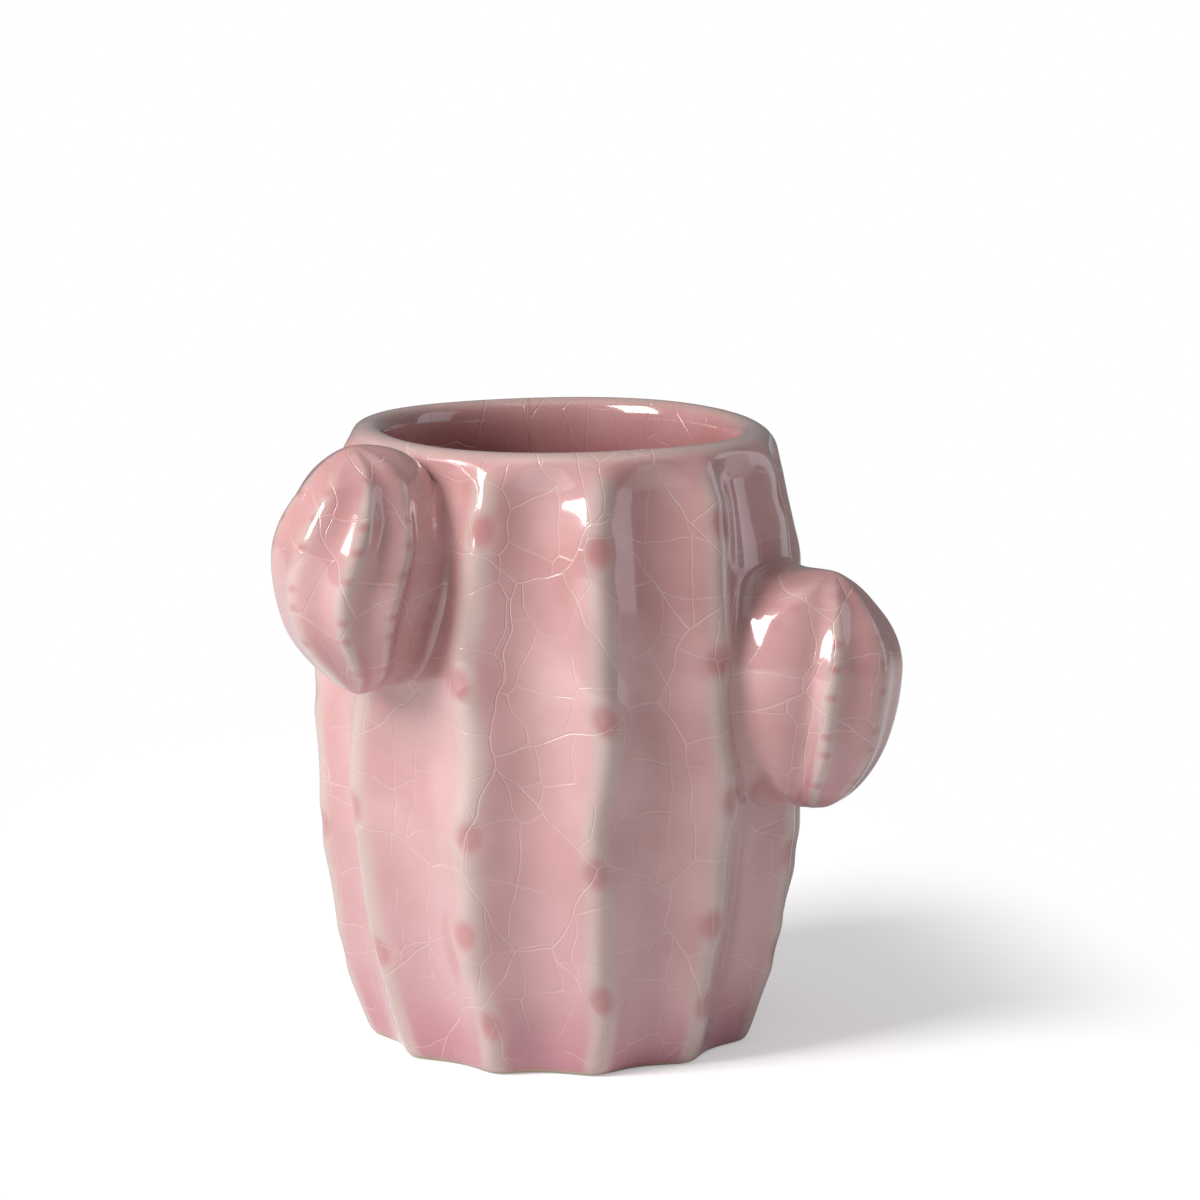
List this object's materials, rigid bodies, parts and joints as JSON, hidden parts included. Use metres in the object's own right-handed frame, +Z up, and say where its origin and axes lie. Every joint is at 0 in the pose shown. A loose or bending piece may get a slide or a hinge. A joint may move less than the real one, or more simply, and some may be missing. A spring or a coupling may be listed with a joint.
{
  "type": "toothbrush holder",
  "caption": "Ceramic toothbrush cup shaped as a barrel cactus, with upright ribs, a round mouth and ribbed stub arms, in pink crackle glaze.",
  "frame": {"origin": "centre of the foot, on the surface that the cup stands on", "axes": "+Z up along the cup's axis; -Y towards the front, half-way between the two arms; +X towards the lower, right-hand arm"},
  "size_m": [0.1136, 0.0914, 0.115],
  "materials": {
    "pink_crackle_glaze": "glossy pink crackle glaze, thin and cream on the ribs, pooled deeper pink in the hollows",
    "luting_slip": "slip wiped smooth, under the same glossy pink glaze"
  },
  "bodies": {
    "root": {"cup_body": "pink_crackle_glaze", "left_arm": "pink_crackle_glaze", "right_arm": "pink_crackle_glaze", "left_arm_slip_collar": "luting_slip", "right_arm_slip_collar": "luting_slip"}
  },
  "joints": []
}
